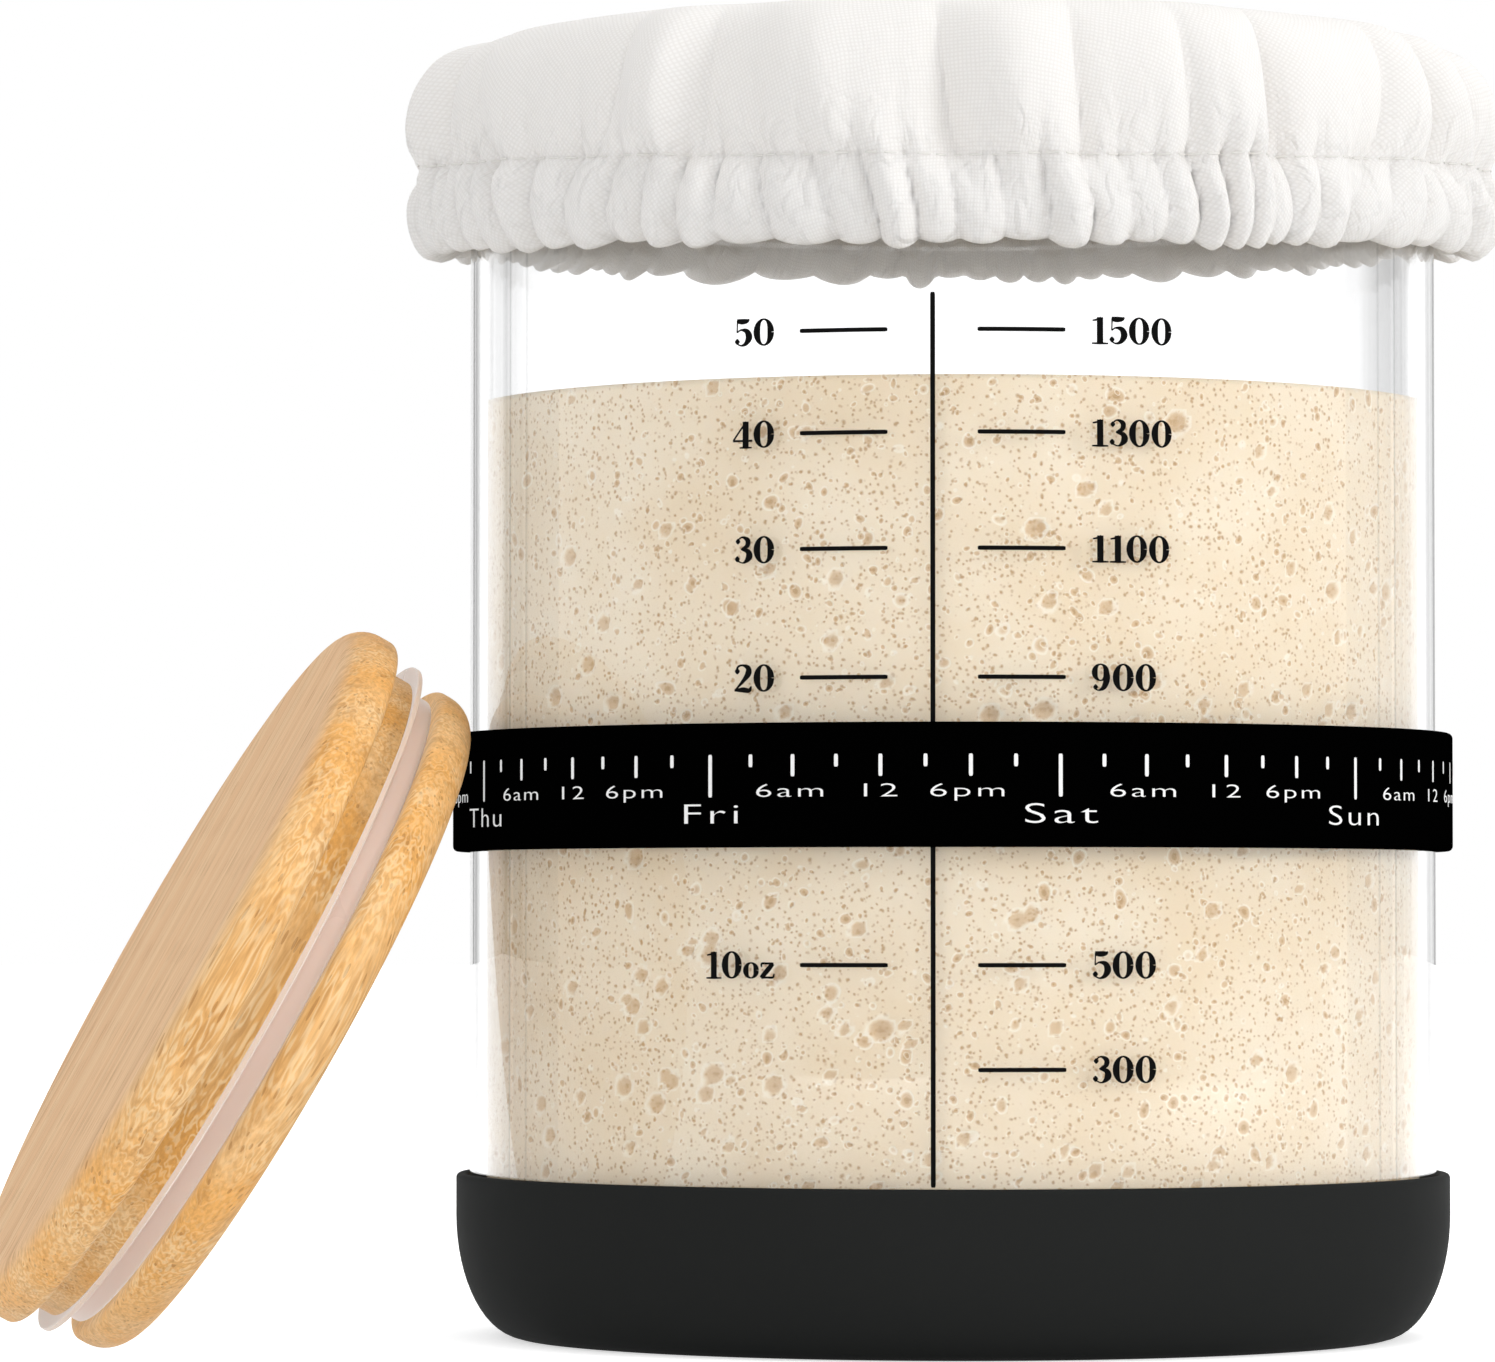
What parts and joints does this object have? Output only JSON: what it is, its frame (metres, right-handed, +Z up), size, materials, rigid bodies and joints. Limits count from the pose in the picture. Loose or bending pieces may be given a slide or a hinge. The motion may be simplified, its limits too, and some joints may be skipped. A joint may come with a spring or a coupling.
{
  "type": "sourdough starter jar",
  "caption": "Straight glass jar of sourdough starter in a silicone sleeve, with a sliding week band, a gathered cloth cover and a leaning wooden lid with a silicone seal.",
  "frame": {"origin": "on the jar's axis, on the surface that the sleeve stands on", "axes": "+Z up along the jar's axis, -Y the pictured front with the printed scale, +X to the right of that front; the lid leans at -X"},
  "size_m": [0.2032, 0.1496, 0.1742],
  "materials": {
    "sleeve_silicone": "matte",
    "jar_glass": "clear, polished",
    "starter": "wet, bubbly",
    "band_silicone": "matte, printed",
    "cover_cotton": "plain weave",
    "elastic_braid": "braided",
    "lid_wood": "oiled, fine straight grain",
    "seal_silicone": "satin, translucent"
  },
  "bodies": {
    "sleeve": {"base_sleeve": "sleeve_silicone"},
    "jar": {"glass_jar": "jar_glass", "sourdough_starter": "starter"},
    "band": {"day_band": "band_silicone"},
    "cover": {"cover_cloth": "cover_cotton", "cover_elastic": "elastic_braid"},
    "lid": {"lid_board": "lid_wood", "lid_seal": "seal_silicone"}
  },
  "joints": [
    {"name": "jar_lift", "type": "slide", "parent": "sleeve", "child": "jar", "axis": [0, 0, 1], "range_m": [0, 0.05]},
    {"name": "band_slide", "type": "slide", "parent": "jar", "child": "band", "axis": [0, 0, 1], "range_m": [-0.042, 0.058]},
    {"name": "cover_lift", "type": "slide", "parent": "jar", "child": "cover", "axis": [0, 0, 1], "range_m": [0, 0.06]},
    {"name": "lid_away", "type": "slide", "parent": "sleeve", "child": "lid", "axis": [-0.8563, -0.1696, 0.4879], "range_m": [0, 0.12]}
  ]
}
